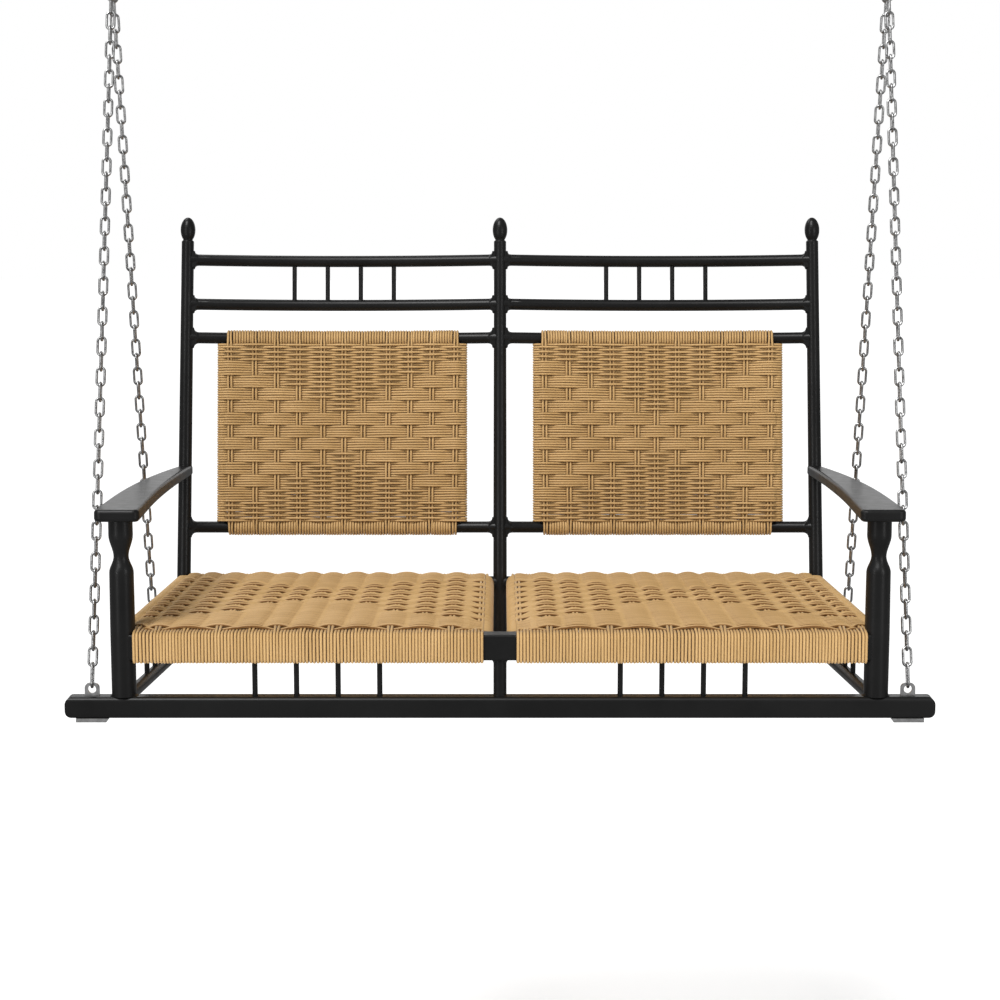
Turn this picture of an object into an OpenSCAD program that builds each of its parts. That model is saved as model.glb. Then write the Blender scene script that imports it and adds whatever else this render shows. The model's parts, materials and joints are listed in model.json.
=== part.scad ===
// Two-seat hanging porch swing: a painted timber frame with woven rope seats and backs,
// hung by four link chains from two ceiling eyes.
// Millimetres. +X to the right as seen from the front, +Y to the back, +Z up.
// The origin is on the ceiling, midway between the two eyes. The frame itself is drawn
// about its own datum, the top of the front bottom rail, and hang() drops it into place.

/* [Overall] */
// Front bottom rail centre to rear bottom rail centre
seat_depth = 490; // [470:5:510]
// Length of the front bottom rail
front_rail_len = 1336; // [1330:2:1360]
// Length of the rear bottom rail
rear_rail_len = 1296; // [1290:2:1320]
// Front post centre line from the middle of the swing
front_post_x = 578.5; // [578:0.5:582]
// Back post centre line from the middle, at the foot
back_post_x = 556.5; // [555:0.5:560]

/* [Rails] */
// Height of the bottom rails
rail_h = 33.5; // [32:0.5:36]
// Thickness of the bottom rails and of the front seat rail
rail_t = 32; // [30:0.5:34]
// Radius of the rounded rail ends
rail_end_r = 12; // [8:0.5:15]
// Radius of the rounded long edges of the bottom rails
edge_r = 7; // [5:0.5:9]
// Height of the front seat rail
seat_rail_h = 40; // [36:0.5:42]
// Bottom of the front seat rail above the bottom rail
seat_rail_z = 57.5; // [55:0.5:60]
// Radius of the round seat rails, stretchers and back rails
round_r = 10; // [9:0.5:11]
// Radius of the front and side spindles
spindle_r = 4.15; // [3.5:0.05:5]
// Spacing of the front and side spindles
spindle_pitch = 64; // [60:1:66]

/* [Front posts and arms] */
// Radius of the turned front posts
post_r = 18.8; // [17:0.1:20]
// Radius at the turned waist
waist_r = 11.7; // [10:0.1:14]
// Height of the waist
waist_z = 217; // [210:1:222]
// Underside of the arms
arm_z = 273.5; // [268:0.5:278]
// Thickness of the arms
arm_t = 19; // [18:0.5:22]

/* [Back] */
// Lean of the back from upright, in degrees
lean = 9; // [7:0.5:11]
// Length of the back posts up to the finials
back_post_len = 690; // [680:1:700]
// Radius of the back posts at the foot
back_post_r = 12.2; // [11.5:0.1:13]
// Radius of the back posts at the top
back_top_r = 10.8; // [10:0.1:12]
// How far the outer back posts draw in towards the top
back_draw_in = 6; // [0:0.5:8]
// How far each bent back rail bows backwards
rail_bow = 22; // [15:1:26]
// Place of the crest rail along the posts
crest_s = 658; // [654:1:662]
// Place of the second rail along the posts
second_s = 580; // [576:1:584]
// Place of the rail at the top of the woven back
panel_top_s = 520.7; // [516:0.1:524]
// Place of the rail at the bottom of the woven back
panel_bottom_s = 187; // [183:1:191]

/* [Woven rope] */
// Thickness of one layer of rope
rope_t = 4.9; // [4:0.1:6]
// Radius of the rods at the sides of each woven back
rod_r = 6; // [5:0.5:7]

/* [Hanging] */
// Hinge line of the swing behind the front bottom rail
hang_y = 335; // [328:0.5:350]
// Height of the top rings' centres above the bottom rail
ring_z = 1116.6; // [1105:0.1:1125]
// Distance of the ceiling eyes from the middle
eye_x = 629; // [625:1:632]
// Radius of the chain wire
wire_r = 2.05; // [1.8:0.05:2.3]
// Inside length of one chain link
link_in = 25; // [24:0.5:26]
// Outside width of one chain link
link_w = 16.4; // [15.5:0.1:18]
// Links in each front chain, an odd number
front_links = 45; // [45:2:45]
// Links in each rear chain, an odd number
rear_links = 43; // [43:2:43]

/* [Hidden] */
$fn = 48;
eps = 0.05;          // clearance round a glued joint
arc_fn = 720;        // steps in a full turn of a wide arc
link_gap = 0.5;      // play between two links
hole_r = 6.3;        // chain hole in a bracket
hole_z = 10;         // chain hole above the rail
hole_play = 1.2;     // play of a connector at the top of its hole
front_eye = [627.7, 0, hole_z + hole_r];            // where a front chain bears on its bracket
rear_eye = [608.2, seat_depth, hole_z + hole_r];    // and a rear chain
tab_w = 22.6;        // the bracket's upright tab
tab_top = 19.8;
tab_t = 4;
tab_corner_r = 8;
foot_x = [-26.8, 23.8];    // the bracket's foot under the rail, inner and outer end
foot_t = 6;
foot_w = 28;
foot_chamfer = 4;
foot_hole_r = 2.6;
screw_pitch = 29;    // the two screws of one bracket
screw_r = 2.4;
screw_grip = 18;     // screw length inside the rail
screw_head_r = 5.6;
screw_dome_r = 8.7;  // radius of the domed head's sphere
ring_r = 20;         // top ring, to the middle of its wire
ring_wire = 3.7;
eye_r = 15;          // half width of the ceiling eye, to the middle of its wire
eye_corner_r = 7.5;  // bends at the ends of the eye's straight foot
eye_wire = 4;
stem_r = 5;          // stem and shoulder between the eye and its plate
shoulder_r = 11;
shoulder_h = 4;
plate_t = 5;
plate_w = 40;
plate_l = 98;
plate_corner_r = 9;
plate_hole_r = 3.25;
bolt_pitch = 68;     // ceiling screws of one plate, front to back
hinge_drop = 43;     // ceiling to the hinge line in the eye's foot
ring_play = 0.4;     // play between a top ring and its eye
ring_drop = hinge_drop + ring_r - ring_wire - eye_wire - ring_play;
hang_z = ring_z + ring_drop;
side_in = (front_post_x - back_post_x) / seat_depth;   // inward run per mm of depth
seat_edge_r = 3;     // long edges of the front seat rail
stretcher_z = [-2, -rail_h / 2 - 2];           // front and rear ends of the stretchers
tenon_r = 7;         // turned tenons of the posts
tenon_len = 18;      // their depth in a bottom rail
rail_tenon_r = 6;    // tenons of the rails in the posts
rail_collar = [6, 8];          // concave collars of the upper two and lower two back rails
draw_angle = atan(back_draw_in / back_post_len);
spindle_mid = [281, seat_depth / 2 + 3];    // middle of the front and of the side spindles
spindle_xs = [for (i = [-1.5:1:1.5]) spindle_mid[0] + i * spindle_pitch];
spindle_ys = [for (i = [-1.5:1:1.5]) spindle_mid[1] + i * spindle_pitch];
crest_mid_x = 276;
crest_pitch = 58.6;
crest_xs = [for (i = [-1.5:1:1.5]) crest_mid_x + i * crest_pitch];
seat_side_z = [92.5, 88.5];    // round seat rails, front and rear
rear_seat_r = 11;
rear_seat_y = seat_depth + seat_side_z[1] * tan(lean);
rod_x = [67.5, 489];           // side rods of a woven back
inner_rail_x = 25.5;           // seat rails next to the middle

// ---------- places and directions ----------

// From the frame's datum to its place under the ceiling
module hang() translate([0, -hang_y, -hang_z]) children();

// The right side as drawn, or its mirror image on the left
module side(right) mirror([right ? 0 : 1, 0, 0]) children();

module both_sides() {
    side(true) children();
    side(false) children();
}

// Local +Z runs up the leaning back, local +Y is straight backwards from it
module back_frame() translate([0, seat_depth, 0]) rotate([-lean, 0, 0]) children();

// X of the right-hand post line at a depth behind the front rail
function side_x(y) = front_post_x - side_in * y;

// X of the right-hand back post at a place along it
function back_x(s) = back_post_x - s * tan(draw_angle);

// A cylinder from one point to another
module bar(from, to, r) {
    run = to - from;
    translate(from)
        rotate([0, acos(run[2] / norm(run)), atan2(run[1], run[0])])
            cylinder(h = norm(run), r = r);
}

// A rectangle with rounded corners, centred
module round_rect(w, h, r) {
    square([w - 2 * r, h], center = true);
    square([w, h - 2 * r], center = true);
    for (x = [-1, 1], y = [-1, 1])
        translate([x * (w / 2 - r), y * (h / 2 - r)]) circle(r);
}

// The concave collar where a rail of radius r meets a post, along +Z from the origin
module collar(r, c) rotate_extrude() difference() {
    translate([0, -c]) square([r + c, 2 * c]);
    translate([r + c, c]) circle(c);
}

// ---------- ceiling hardware ----------

module ceiling_plate(right) color("silver")
    translate([right ? eye_x : -eye_x, 0, -plate_t]) difference() {
        linear_extrude(plate_t) round_rect(plate_w, plate_l, plate_corner_r);
        for (y = [-1, 1]) translate([0, y * bolt_pitch / 2, -1])
            cylinder(h = plate_t + 2, r = plate_hole_r);
    }

// A loop with a straight foot, the pin that the ring turns on
module ceiling_eye(right) color("silver")
    translate([right ? eye_x : -eye_x, 0, -hinge_drop]) {
        rotate([0, 90, 0]) cylinder(h = 2 * (eye_r - eye_corner_r), r = eye_wire, center = true);
        for (x = [0, 1]) mirror([x, 0, 0]) {
            translate([eye_r - eye_corner_r, 0, eye_corner_r]) rotate([90, 90, 0])
                rotate_extrude(angle = 90) translate([eye_corner_r, 0]) circle(eye_wire);
            translate([eye_r, 0, eye_corner_r]) cylinder(h = eye_r - eye_corner_r, r = eye_wire);
        }
        translate([0, 0, eye_r]) rotate([90, 0, 0]) rotate_extrude(angle = 180)
            translate([eye_r, 0]) circle(eye_wire);
        translate([0, 0, 2 * eye_r]) cylinder(h = hinge_drop - plate_t - 2 * eye_r, r = stem_r);
        translate([0, 0, hinge_drop - plate_t - shoulder_h])
            cylinder(h = shoulder_h, r = shoulder_r);
    }

module top_ring(right) color("silver")
    translate([right ? eye_x : -eye_x, 0, -ring_drop]) rotate([0, 90, 0]) rotate_extrude()
        translate([ring_r, 0]) circle(ring_wire);

// ---------- chains ----------

// A link standing along Z with its foot crown's wire at z = 0, wide along X
module link(inside) {
    mean = link_w / 2 - wire_r;
    straight = inside + 2 * wire_r - 2 * mean;
    for (x = [-1, 1]) translate([x * mean, 0, mean]) cylinder(h = straight, r = wire_r);
    translate([0, 0, mean]) rotate([-90, 0, 0]) rotate_extrude(angle = 180)
        translate([mean, 0]) circle(wire_r);
    translate([0, 0, mean + straight]) rotate([90, 0, 0]) rotate_extrude(angle = 180)
        translate([mean, 0]) circle(wire_r);
}

// Local +Z runs from a bracket to the centre of its top ring
module chain_frame(eye) {
    run = [eye_x, hang_y, ring_z] - eye;
    u = run / norm(run);
    translate(eye) rotate([atan2(-u[1], u[2]), 0, 0]) rotate([0, asin(u[0]), 0]) children();
}

// Inside length of the connector that takes up what whole links leave
function connector_in(eye, links) = norm([eye_x, hang_y, ring_z] - eye) - links * chain_pitch
    - crown_in - 2 * wire_r - (ring_r - ring_wire - wire_r - link_gap);
chain_pitch = link_in - link_gap;
crown_in = -wire_r - hole_play;

// Where the first link's foot crown lies, above a connector of that inside length
function first_crown(connector) = crown_in + connector - link_gap;

module chain(right, eye, links) color("silver") hang() side(right) chain_frame(eye)
    for (i = [0:links - 1])
        translate([0, 0, first_crown(connector_in(eye, links)) + i * chain_pitch])
            rotate([0, 0, i % 2 == 0 ? 0 : 90]) link(link_in);

module connector_links(eye, links) color("silver") hang() both_sides() chain_frame(eye)
    translate([0, 0, crown_in]) rotate([0, 0, 90]) link(connector_in(eye, links));

// ---------- chain brackets ----------

module bracket(grow) {
    tab_h = tab_top + rail_h;
    difference() {
        translate([0, tab_t / 2 + grow, tab_top - tab_h / 2]) rotate([90, 0, 0])
            linear_extrude(tab_t + 2 * grow) round_rect(tab_w + 2 * grow, tab_h, tab_corner_r);
        translate([0, tab_t, hole_z]) rotate([90, 0, 0]) cylinder(h = 2 * tab_t, r = hole_r);
    }
    translate([0, tab_t / 2 + grow, -rail_h]) rotate([90, 0, 0])
        linear_extrude(tab_t + 2 * grow)
            translate([-tab_w / 2 - grow, 0]) square([tab_w + 2 * grow, rail_h / 2]);
}

// The plate under the rail, chamfered at the end towards the middle of the swing
module bracket_foot() difference() {
    translate([0, foot_w / 2, -rail_h]) rotate([90, 0, 0]) linear_extrude(foot_w)
        polygon([[foot_x[0], 0], [foot_x[1], 0], [foot_x[1], -foot_t],
            [foot_x[0] + foot_chamfer, -foot_t]]);
    for (x = [-1, 1]) translate([x * screw_pitch / 2, 0, -rail_h - foot_t - 1])
        cylinder(h = foot_t + 2, r = foot_hole_r);
}

module chain_bracket(right, eye) color("gainsboro") hang() side(right)
    translate([eye[0], eye[1], 0]) {
        bracket(0);
        bracket_foot();
    }

module screw(grow) {
    translate([0, 0, -rail_h - foot_t])
        cylinder(h = foot_t + screw_grip + grow, r = screw_r + grow);
    translate([0, 0, -rail_h - foot_t]) rotate_extrude() intersection() {
        translate([0, screw_dome_r - 3]) circle(screw_dome_r);
        translate([0, -3]) square([screw_head_r, 3]);
    }
}

module screws_at(eye, grow) for (x = [-1, 1])
    translate([eye[0] + x * screw_pitch / 2, eye[1], 0]) screw(grow);

module bracket_screws() color("silver") hang() both_sides() {
    screws_at(front_eye, 0);
    screws_at(rear_eye, 0);
}

// ---------- bottom frame ----------

// A bottom rail with eased long edges and rounded ends, its top at z = 0
module rail_blank(len) translate([0, 0, -rail_h / 2]) intersection() {
    rotate([90, 0, 90]) linear_extrude(len, center = true) round_rect(rail_t, rail_h, edge_r);
    rotate([90, 0, 0]) linear_extrude(rail_t + 2, center = true)
        round_rect(len, rail_h, rail_end_r);
}

module bracket_seat(eye) {
    translate([eye[0], eye[1], 0]) bracket(0.1);
    screws_at(eye, 0.1);
}

module front_bottom_rail() color("black") hang() difference() {
    rail_blank(front_rail_len);
    both_sides() {
        front_tenon(front_post_x, eps);
        front_spindle_rods(eps);
        bracket_seat(front_eye);
    }
    front_tenon(0, eps);
}

module rear_bottom_rail() color("black") hang() difference() {
    translate([0, seat_depth, 0]) rail_blank(rear_rail_len);
    both_sides() {
        back_tenon(back_post_x, eps);
        side_stretcher_bar(eps);
        bracket_seat(rear_eye);
    }
    back_tenon(0, eps);
    centre_stretcher_bar(eps);
}

module front_tenon(x, grow) translate([x, 0, -tenon_len - grow])
    cylinder(h = tenon_len + 1 + grow, r = tenon_r + grow);

module back_tenon(x, grow) translate([x, seat_depth, -tenon_len - grow])
    cylinder(h = tenon_len + 4 + grow, r = tenon_r + grow);

// Height of a stretcher's middle at a depth behind the front rail
function stretcher_at(y) = stretcher_z[0]
    + (stretcher_z[1] - stretcher_z[0]) * y / (seat_depth - 8);

// From low on the front post down to the middle of the rear rail's front face
module side_stretcher_bar(grow) bar([side_x(0) - 5.5, 0, stretcher_z[0]],
    [side_x(seat_depth - 8) - 3.5, seat_depth - 8, stretcher_z[1]], round_r + grow);

module side_stretcher(right) color("black") hang() side(right) difference() {
    side_stretcher_bar(0);
    front_post_shaft(0);
    rail_blank(front_rail_len);
    side_spindle_rods(eps);
}

module centre_stretcher_bar(grow) bar([0, 0, stretcher_z[0]],
    [0, seat_depth - 8, stretcher_z[1]], round_r - 1 + grow);

module centre_stretcher() color("black") hang() difference() {
    centre_stretcher_bar(0);
    centre_front_shaft();
    rail_blank(front_rail_len);
}

// ---------- front posts and seat frame ----------

// Outline of the turned post, in steps between the full shaft and the waist
function shaft_r(t) = waist_r + (post_r - waist_r) * (1 - cos(180 * t)) / 2;
waist_low = waist_z - 25;
waist_high = waist_z + 33;
post_outline = concat([[0, 0], [post_r, 0], [post_r + 0.3, 100]],
    [for (i = [8:-1:0]) [shaft_r(i / 8) - 0.2, waist_z - (waist_z - waist_low) * i / 8]],
    [for (i = [1:8]) [shaft_r(i / 8) - 0.2, waist_z + (waist_high - waist_z) * i / 8]],
    [[post_r - 0.3, arm_z], [0, arm_z]]);

module front_post_shaft(grow) translate([front_post_x, 0, 0]) {
    rotate_extrude() polygon(post_outline);
    if (grow > 0) cylinder(h = 190, r = post_r + 0.3 + grow);
}

module foot_collar(r, c) intersection() {
    collar(r, c);
    translate([-r - c, -rail_t / 2 + edge_r, 0]) cube([2 * (r + c), rail_t - 2 * edge_r, c]);
}

module arm_tenon(grow) translate([front_post_x, 0, arm_z - 1])
    cylinder(h = 13 + grow, r = tenon_r + grow);

module front_post(right) color("black") hang() side(right) difference() {
    union() {
        front_post_shaft(0);
        difference() {
            translate([front_post_x, 0, 0]) foot_collar(post_r, 4);
            side_stretcher_bar(eps);
        }
        front_tenon(front_post_x, 0);
        arm_tenon(0);
    }
    seat_rail_tenon(eps);
    seat_outer_rail_tenon(eps);
}

centre_post_r = 10.1;
module centre_front_shaft() cylinder(h = seat_rail_z, r = centre_post_r);

module centre_front_post() color("black") hang() {
    centre_front_shaft();
    difference() {
        foot_collar(centre_post_r, 2);
        centre_stretcher_bar(eps);
    }
    translate([0, 0, seat_rail_z]) mirror([0, 0, 1]) foot_collar(centre_post_r, 8);
    front_tenon(0, 0);
    centre_top_tenon(0);
}

module centre_top_tenon(grow) translate([0, 0, seat_rail_z - 1])
    cylinder(h = 13 + grow, r = tenon_r + grow);

module front_seat_rail() color("black") hang() difference() {
    union() {
        difference() {
            translate([0, 0, seat_rail_z + seat_rail_h / 2]) rotate([90, 0, 90])
                linear_extrude(2 * front_post_x, center = true)
                    round_rect(rail_t, seat_rail_h, seat_edge_r);
            both_sides() front_post_shaft(0);
            for (x = [-1, 1]) translate([x * (front_post_x + 50), 0, 0])
                cube([100, 100, 400], center = true);
        }
        both_sides() seat_rail_tenon(0);
    }
    both_sides() {
        front_spindle_rods(eps);
        seat_inner_rail(eps);
    }
    centre_top_tenon(eps);
}

module seat_rail_tenon(grow) translate([front_post_x - 22 + grow, 0, seat_rail_z + seat_rail_h / 2])
    cube([26 + 4 * grow, 14 + 2 * grow, 22 + 2 * grow], center = true);

// The round rails along the sides of a seat. The outer one ends in both posts.
module seat_outer_rail(grow) bar([side_x(0) - 3, 0, seat_side_z[0]],
    [side_x(rear_seat_y) - 1, rear_seat_y, seat_side_z[1]], round_r + grow);

module seat_outer_rail_tenon(grow) bar([side_x(10) - 3, 10, seat_side_z[0]],
    [side_x(60) - 3, 60, seat_side_z[0] - 0.4], rail_tenon_r + grow);

module seat_inner_rail(grow) bar([inner_rail_x, 10, seat_side_z[0] - 9],
    [inner_rail_x, rear_seat_y, seat_side_z[1]], round_r + grow);

module seat_side_rails(right) color("black") hang() side(right) {
    difference() {
        seat_outer_rail(0);
        front_post_shaft(0);
        translate([0, -rail_t / 2, seat_rail_z])
            cube([2 * front_post_x, rail_t + eps, 2 * seat_rail_h]);
        back_frame() back_shaft(back_post_x, draw_angle, eps);
        rear_seat_bar(eps);
        side_spindle_rods(eps);
    }
    difference() {
        seat_outer_rail_tenon(0);
        translate([0, 22, 0]) cube([2000, 200, 200]);
    }
    difference() {
        seat_inner_rail(0);
        rear_seat_bar(eps);
    }
}

// The rear seat rail of one bay, from the middle post to the outer post
module rear_seat_bar(grow) bar([0, rear_seat_y, seat_side_z[1]],
    [back_x(90), rear_seat_y, seat_side_z[1]], rear_seat_r + grow);

module rear_seat_tenon(grow) for (x = [4, back_x(90) - 24])
    bar([x, rear_seat_y, seat_side_z[1]], [x + 20, rear_seat_y, seat_side_z[1]],
        rail_tenon_r + grow);

module rear_seat_rail(right) color("black") hang() side(right) {
    difference() {
        rear_seat_bar(0);
        back_frame() {
            back_shaft(0, 0, 0);
            back_shaft(back_post_x, draw_angle, 0);
        }
    }
    rear_seat_tenon(0);
}

// ---------- spindles ----------

module front_spindle_rods(grow) for (x = spindle_xs)
    translate([x, 0, -8 - grow])
        cylinder(h = seat_rail_z + 16 + 2 * grow, r = spindle_r + grow);

module front_spindles() color("black") hang() both_sides() front_spindle_rods(0);

module side_spindle_rods(grow) for (y = spindle_ys)
    translate([side_x(y) - 4.5, y, stretcher_at(y) + 3 - grow])
        cylinder(h = seat_side_z[1] - 6 - stretcher_at(y) + 2 * grow, r = spindle_r + grow);

module side_spindles() color("black") hang() both_sides() side_spindle_rods(0);

module crest_spindle_rods(grow) for (x = crest_xs)
    translate([x, bow_at(x, crest_s), second_s + 5 - grow])
        cylinder(h = crest_s - second_s - 10 + 2 * grow, r = 4 + grow);

module crest_spindles() color("black") hang() both_sides() back_frame() crest_spindle_rods(0);

// ---------- back ----------

// The tapering shaft of a back post, grown by grow all round
module back_shaft(x, draw, grow) translate([x, 0, 0]) rotate([0, -draw, 0])
    cylinder(h = back_post_len, r1 = back_post_r + grow, r2 = back_top_r + grow);

module back_post(x, draw) color("black") hang() difference() {
    union() {
        difference() {
            back_frame() translate([x, 0, 0]) rotate([0, -draw, 0]) translate([0, 0, -20])
                cylinder(h = back_post_len + 20, r1 = back_post_r + 0.04, r2 = back_top_r);
            translate([-1000, 0, -100]) cube([2000, 1000, 100]);
        }
        back_tenon(x, 0);
    }
    for (right = [true, false]) side(right) {
        rear_seat_tenon(eps);
        back_frame() {
            for (s = [crest_s, second_s, panel_top_s, panel_bottom_s]) rail_tenons(s, eps);
            finial_tenon(0, 0, eps);
            finial_tenon(back_post_x, draw_angle, eps);
        }
    }
}

module finial_tenon(x, draw, grow) translate([x, 0, 0]) rotate([0, -draw, 0])
    translate([0, 0, back_post_len - 14 - grow]) cylinder(h = 15 + grow, r = 5 + grow);

// An egg on a short neck
finial_h = 43;
egg_r = 13;
egg_z = 21;
finial_outline = concat([[0, 0], [back_top_r, 0], [back_top_r - 0.6, 1.2], [8.2, 3]],
    [for (a = [-50:10:90]) [egg_r * cos(a), egg_z + (finial_h - egg_z) * sin(a)]]);

module finial(x, draw) color("black") hang() back_frame() {
    translate([x, 0, 0]) rotate([0, -draw, 0]) translate([0, 0, back_post_len])
        rotate_extrude() polygon(finial_outline);
    finial_tenon(x, draw, 0);
}

// A bent rail is an arc from post centre to post centre, bowed backwards
function chord(s) = back_x(s);
function bow_r(s) = (chord(s) * chord(s) / 4 + rail_bow * rail_bow) / (2 * rail_bow);
function half_angle(s) = asin(chord(s) / 2 / bow_r(s));
function bow_at(x, s) = sqrt(bow_r(s) * bow_r(s) - (x - chord(s) / 2) * (x - chord(s) / 2))
    - bow_r(s) + rail_bow;

// Sweeps a cross-section along the rail's arc, leaving out trim degrees at each end
module bow_sweep(s, trim) translate([chord(s) / 2, rail_bow - bow_r(s), s])
    rotate([0, 0, 90 - half_angle(s) + trim])
        rotate_extrude(angle = 2 * (half_angle(s) - trim), $fn = arc_fn)
            translate([bow_r(s), 0]) children();

module rail_tenons(s, grow) {
    cut = tenon_trim(s);
    bow_sweep(s, cut) circle(rail_tenon_r + grow);
}
function tenon_trim(s) = 3.5 / bow_r(s) * 180 / PI;

// Collars stand a hair proud of the rail and are as deep as the post allows
module rail_collars(s) {
    a = half_angle(s);
    c = rail_collar[s > panel_top_s ? 0 : 1];
    reach = back_post_r + 0.5;
    middle = reach * sin(a) + 0.5;
    intersection() {
        union() {
            translate([reach * cos(a), reach * sin(a), s]) rotate([0, 90, a])
                collar(round_r + 0.15, c);
            translate([chord(s) - reach * cos(a), reach * sin(a), s]) rotate([0, 90, 180 - a])
                collar(round_r + 0.15, c);
        }
        translate([0, middle - 9.5, s - 30]) cube([chord(s), 19, 60]);
    }
}

module back_rail(right, s) color("black") hang() side(right) back_frame() difference() {
    union() {
        difference() {
            union() {
                bow_sweep(s, 0) circle(round_r);
                rail_collars(s);
            }
            back_shaft(0, 0, 0);
            back_shaft(back_post_x, draw_angle, 0);
        }
        rail_tenons(s, 0);
    }
    if (s > panel_top_s) crest_spindle_rods(eps);
    else panel_rod_bars(eps);
}

module panel_rod_bars(grow) for (x = rod_x)
    translate([x, bow_at(x, panel_top_s), panel_bottom_s + 5 - grow])
        cylinder(h = panel_top_s - panel_bottom_s - 10 + 2 * grow, r = rod_r + grow);

module panel_rods(right) color("black") hang() side(right) back_frame() panel_rod_bars(0);

// ---------- arms ----------

// Outline of the right arm: round the front, up the outer edge and back down the inner edge
arm_core = 6;    // radius of the rounded edge
arm_front_y = -32;
arm_corner_r = 10;
arm_outline = concat(
    [for (a = [180:15:270]) arm_corner(arm_inner(0) + arm_corner_r, a)],
    [for (a = [270:15:360]) arm_corner(arm_outer(0) - arm_corner_r, a)],
    [for (y = [30:50:480]) [arm_outer(y), y]],
    [[arm_outer(530), 530], [arm_inner(552) + 3, 552], [arm_inner(552), 549]],
    [for (y = [500:-50:50]) [arm_inner(y), y]]);

function arm_corner(x, a) = [x + arm_corner_r * cos(a),
    arm_front_y + arm_corner_r + arm_corner_r * sin(a)];
// The outer edge draws in towards the back post
function arm_outer(y) = front_post_x + 36 - 50.4 * pow(max(0, y) / 530, 2.6);
// The inner edge swings out a little behind the hand
function arm_inner(y) = front_post_x - 34.5 + 7.5 * sin(min(90, 90 * max(0, y + 24) / 260))
    - 10.5 * pow(max(0, y - 230) / 320, 2);

module arm_body() minkowski() {
    translate([0, 0, arm_z + arm_core]) linear_extrude(arm_t - 2 * arm_core)
        offset(delta = -arm_core) polygon(arm_outline);
    sphere(arm_core, $fn = 20);
}

module arm(right) color("black") hang() side(right) difference() {
    arm_body();
    arm_tenon(eps);
    back_frame() back_shaft(back_post_x, draw_angle, 0.1);
}

// ---------- woven rope ----------

// A woven back: rope round the two rails and the side rods, front and rear layers as one
module woven_back(right) color("burlywood") hang() side(right) back_frame() difference() {
    intersection() {
        bow_sweep(panel_top_s, 0)
            translate([-round_r - rope_t, panel_bottom_s - panel_top_s - round_r - rope_t])
                square([2 * (round_r + rope_t),
                    panel_top_s - panel_bottom_s + 2 * (round_r + rope_t)]);
        translate([rod_x[0] - rod_r - rope_t, -50, 0])
            cube([rod_x[1] - rod_x[0] + 2 * (rod_r + rope_t), 150, back_post_len]);
    }
    for (s = [panel_top_s, panel_bottom_s]) bow_sweep(s, 1) circle(round_r + 0.1);
    panel_rod_bars(0.1);
}

// A woven seat: top and bottom layers joined round the front, rear and side rails
seat_front = -rail_t / 2 - rope_t;
seat_back = rear_seat_y + rear_seat_r + rope_t;
seat_under = seat_rail_z - rope_t - 1;
skin = 5.5;        // one woven layer of a seat

// Outline from above: clear of the posts, and over the round rails at the sides
wrap_x = 19.8;     // inner end of the rope round the front rail
side_over = 15;    // reach of the rope from the middle of a round side rail
module seat_plan() polygon([
    [wrap_x, seat_front - 1], [front_post_x - post_r - 1, seat_front - 1],
    [front_post_x - post_r - 1, post_r + 1], [side_x(20) + side_over - 3, post_r + 1],
    [side_x(480) + side_over - 3, 478], [side_x(480) - side_over, 484],
    [side_x(480) - side_over, seat_back + 1], [14, seat_back + 1], [14, 484],
    [inner_rail_x - side_over, 478], [inner_rail_x - side_over, rail_t / 2 + 4],
    [wrap_x, rail_t / 2 + 4]]);

module seat_profile() rotate([90, 0, 90]) linear_extrude(600) difference() {
    polygon([[seat_front, seat_under], [seat_front, 102], [seat_front + 7, 110],
        [rear_seat_y, 106.5], [seat_back - 4, 102], [seat_back, 96], [seat_back, 78],
        [seat_back - 8, 72.5]]);
    polygon([[rail_t / 2 + 2, seat_under + skin], [rail_t / 2 + 2, 109.5 - skin],
        [rear_seat_y - 14, 106.6 - skin], [rear_seat_y - 14, 72.5 + skin]]);
}

module woven_seat(right) color("burlywood") hang() side(right) difference() {
    intersection() {
        seat_profile();
        linear_extrude(200) seat_plan();
    }
    translate([0, 0, seat_rail_z + seat_rail_h / 2]) rotate([90, 0, 90])
        linear_extrude(1200, center = true) square([rail_t + 0.2, seat_rail_h + 0.2], center = true);
    rear_seat_bar(0.2);
    seat_outer_rail(0.2);
    seat_inner_rail(0.2);
    front_spindle_rods(0.2);
    side_spindle_rods(0.2);
    front_post_shaft(0.3);
    back_frame() back_shaft(back_post_x, draw_angle, 0.3);
}

// ---------- nodes ----------

ceiling_plate(false);  // left_ceiling_plate
ceiling_plate(true);  // right_ceiling_plate
ceiling_eye(false);  // left_ceiling_eye
ceiling_eye(true);  // right_ceiling_eye
top_ring(false);  // left_top_ring
top_ring(true);  // right_top_ring
chain(false, front_eye, front_links);  // left_front_chain
chain(false, rear_eye, rear_links);  // left_rear_chain
chain(true, front_eye, front_links);  // right_front_chain
chain(true, rear_eye, rear_links);  // right_rear_chain
connector_links(front_eye, front_links);  // front_connector_links
connector_links(rear_eye, rear_links);  // rear_connector_links
chain_bracket(false, front_eye);  // left_front_bracket
chain_bracket(false, rear_eye);  // left_rear_bracket
chain_bracket(true, front_eye);  // right_front_bracket
chain_bracket(true, rear_eye);  // right_rear_bracket
bracket_screws();
front_bottom_rail();
rear_bottom_rail();
side_stretcher(false);  // left_side_stretcher
side_stretcher(true);  // right_side_stretcher
centre_stretcher();
front_post(false);  // left_front_post
front_post(true);  // right_front_post
centre_front_post();
front_seat_rail();
rear_seat_rail(false);  // left_rear_seat_rail
rear_seat_rail(true);  // right_rear_seat_rail
seat_side_rails(false);  // left_seat_side_rails
seat_side_rails(true);  // right_seat_side_rails
front_spindles();
side_spindles();
back_post(-back_post_x, -draw_angle);  // left_back_post
back_post(0, 0);  // centre_back_post
back_post(back_post_x, draw_angle);  // right_back_post
finial(-back_post_x, -draw_angle);  // left_finial
finial(0, 0);  // centre_finial
finial(back_post_x, draw_angle);  // right_finial
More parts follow.
